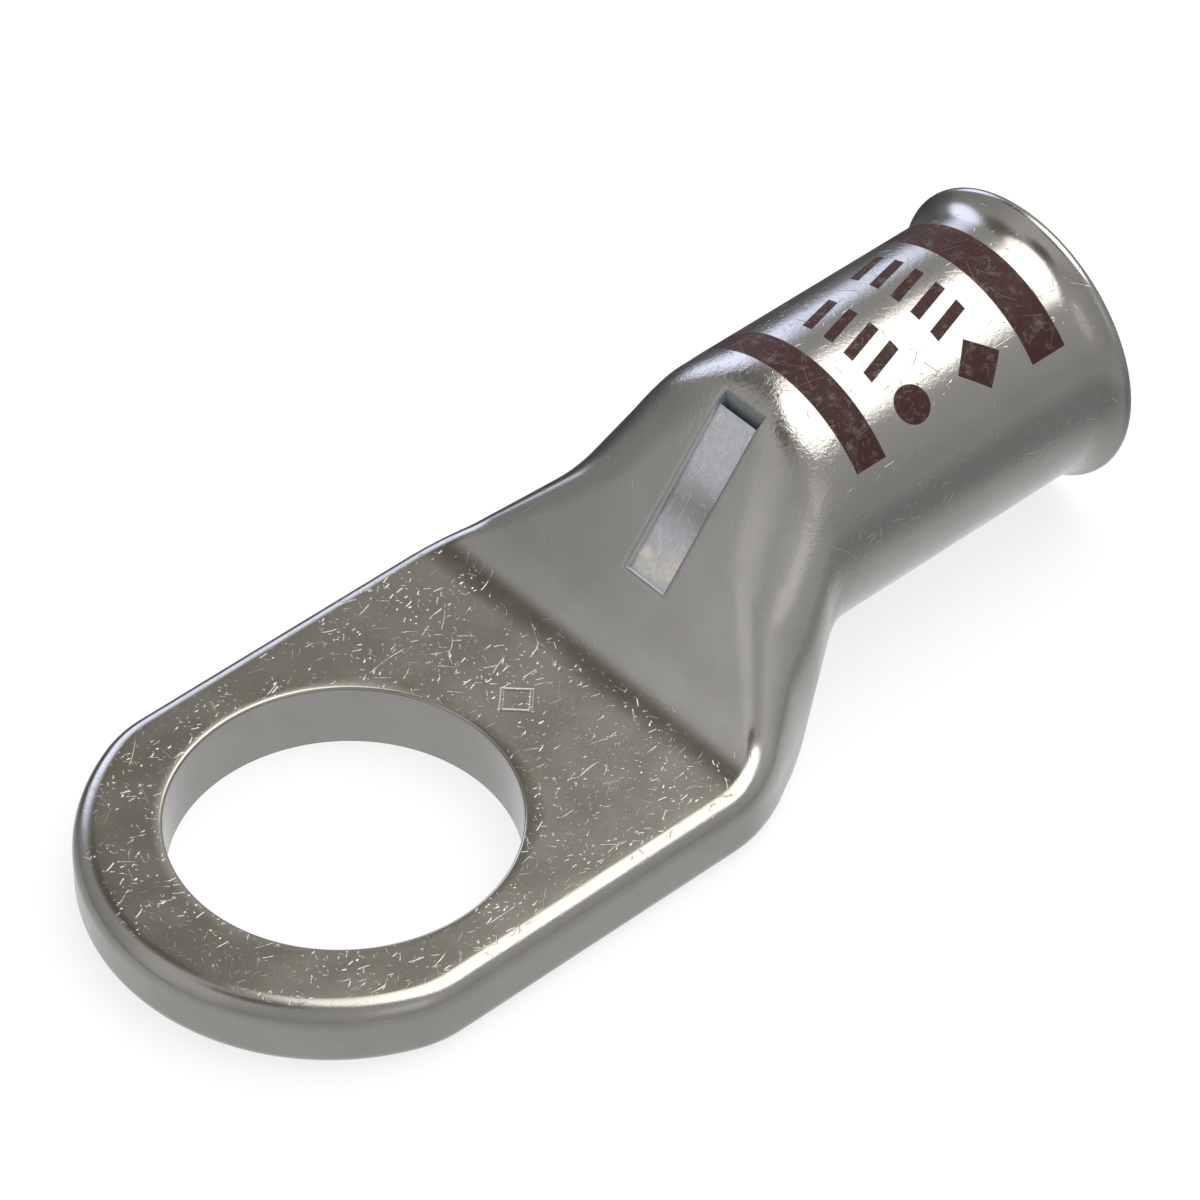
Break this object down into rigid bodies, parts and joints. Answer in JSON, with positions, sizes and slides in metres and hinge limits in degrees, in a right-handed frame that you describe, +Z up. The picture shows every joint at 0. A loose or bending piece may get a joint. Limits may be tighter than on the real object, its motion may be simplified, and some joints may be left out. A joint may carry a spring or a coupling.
{
  "type": "cable lug",
  "caption": "Ring cable lug formed from one tube: a flat palm with a stud hole, an offset ramp with an inspection window, and a wire barrel with a flared mouth.",
  "frame": {"origin": "centre of the stud hole on the palm's contact face, which the lug rests on", "axes": "+X along the lug from the stud hole to the barrel's mouth, +Z up from the contact face along the stud hole, +Y across the palm"},
  "size_m": [0.0453, 0.019, 0.0126],
  "materials": {
    "tinned_copper": "satin tin plating over copper, lightly scratched"
  },
  "bodies": {
    "root": {"cable_lug": "tinned_copper"}
  },
  "joints": []
}
